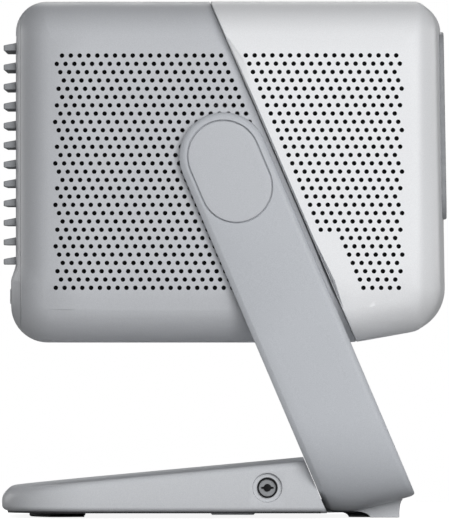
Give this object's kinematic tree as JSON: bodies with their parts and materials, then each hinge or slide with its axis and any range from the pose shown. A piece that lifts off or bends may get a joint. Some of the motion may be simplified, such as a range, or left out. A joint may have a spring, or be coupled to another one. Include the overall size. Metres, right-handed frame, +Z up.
{
  "type": "smart projector speaker on tilting stand",
  "caption": "Portable smart projector with side loudspeaker grilles; its head tilts in a slanted yoke on a wedge base that swivels on a round foot.",
  "frame": {"origin": "on the floor under the middle of the bounding box", "axes": "+X towards the lens side, +Y to its left, +Z up"},
  "size_m": [0.2028, 0.241, 0.2352],
  "materials": {
    "silver_casting": "fine bead-blasted and silver lacquered",
    "silver_moulding": "satin silver lacquer",
    "silver_sheet": "punched sheet, satin silver lacquer",
    "silver_cap": "satin",
    "louvre_plastic": "satin grey",
    "black_gloss": "polished black",
    "panel_glass": "smoked polished glass",
    "lens_glass": "coated glass",
    "grey_plastic": "moulded dark grey",
    "rubber_grey": "matte grey rubber",
    "black_plastic": "moulded black",
    "steel": "zinc plated",
    "cast_alloy": "as cast",
    "copper": "drawn copper",
    "circuit_board": "green solder resist",
    "magnet": "plated ferrite",
    "cone_rubber": "coated paper and rubber"
  },
  "bodies": {
    "foot": {"swivel_disc": "grey_plastic", "foot_pads": "rubber_grey", "swivel_spindle": "steel", "swivel_keeper": "steel"},
    "stand": {"swivel_bushing": "steel", "yoke": "silver_casting", "base_shell": "silver_moulding", "base_cover": "grey_plastic", "ballast_plate": "steel", "dc_socket": "black_plastic", "dc_pin": "steel", "skid_pads": "rubber_grey", "pivot_cap_left": "silver_cap", "pivot_cap_right": "silver_cap", "tilt_shaft_left": "steel", "tilt_shaft_right": "steel", "friction_washers": "steel", "tilt_nuts": "steel"},
    "head": {"audio_socket": "black_plastic", "chassis": "steel", "fan_housing_left": "black_plastic", "fan_housing_right": "black_plastic", "focus_motor": "steel", "front_bezel": "black_gloss", "front_glass": "panel_glass", "grille_front_left": "silver_sheet", "grille_front_right": "silver_sheet", "grille_rear_left": "silver_sheet", "grille_rear_right": "silver_sheet", "hdmi_sockets": "steel", "head_shell": "silver_moulding", "heat_pipes": "copper", "heat_sink": "cast_alloy", "lens_barrel": "cast_alloy", "lens_front_element": "lens_glass", "light_modules": "cast_alloy", "mainboard": "circuit_board", "optical_engine": "cast_alloy", "power_board": "circuit_board", "rear_cover": "silver_moulding", "rear_louvres": "louvre_plastic", "sensor_module": "black_plastic", "speaker_basket_left": "grey_plastic", "speaker_basket_right": "grey_plastic", "speaker_chamber_left": "grey_plastic", "speaker_chamber_right": "grey_plastic", "speaker_cone_left": "cone_rubber", "speaker_cone_right": "cone_rubber", "speaker_magnet_left": "magnet", "speaker_magnet_right": "magnet", "tilt_bearing_left": "steel", "tilt_bearing_right": "steel", "usb_socket": "steel"},
    "button": {"power_button": "silver_moulding"},
    "fan_right": {"fan_rotor_right": "black_plastic"},
    "fan_left": {"fan_rotor_left": "black_plastic"},
    "focus_ring": {"focus_ring": "black_plastic"},
    "focus_pinion": {"focus_pinion": "black_plastic"}
  },
  "joints": [
    {"name": "pan", "type": "hinge", "parent": "foot", "child": "stand", "pos_m": [-0.005, 0, 0.01], "axis": [0, 0, 1], "continuous": true},
    {"name": "tilt", "type": "hinge", "parent": "stand", "child": "head", "pos_m": [-0.0005, 0, 0.1646], "axis": [0, -1, 0], "range_deg": [0, 135]},
    {"name": "power_press", "type": "slide", "parent": "head", "child": "button", "axis": [1, 0, 0], "range_m": [0, 0.0005], "stiffness_N_per_m": 1500},
    {"name": "fan_right_spin", "type": "hinge", "parent": "head", "child": "fan_right", "pos_m": [-0.0735, -0.031, 0.151], "axis": [1, 0, 0], "continuous": true},
    {"name": "fan_left_spin", "type": "hinge", "parent": "head", "child": "fan_left", "pos_m": [-0.0735, 0.031, 0.151], "axis": [1, 0, 0], "continuous": true},
    {"name": "focus_turn", "type": "hinge", "parent": "head", "child": "focus_ring", "pos_m": [0.066, 0, 0.17885], "axis": [1, 0, 0], "range_deg": [-40, 40]},
    {"name": "pinion_spin", "type": "hinge", "parent": "head", "child": "focus_pinion", "pos_m": [0.066, 0.02457, 0.16164], "axis": [1, 0, 0], "range_deg": [-160, 160]}
  ],
  "couplings": [
    {"joint": "pinion_spin", "follows": "focus_turn", "ratio": -4}
  ]
}
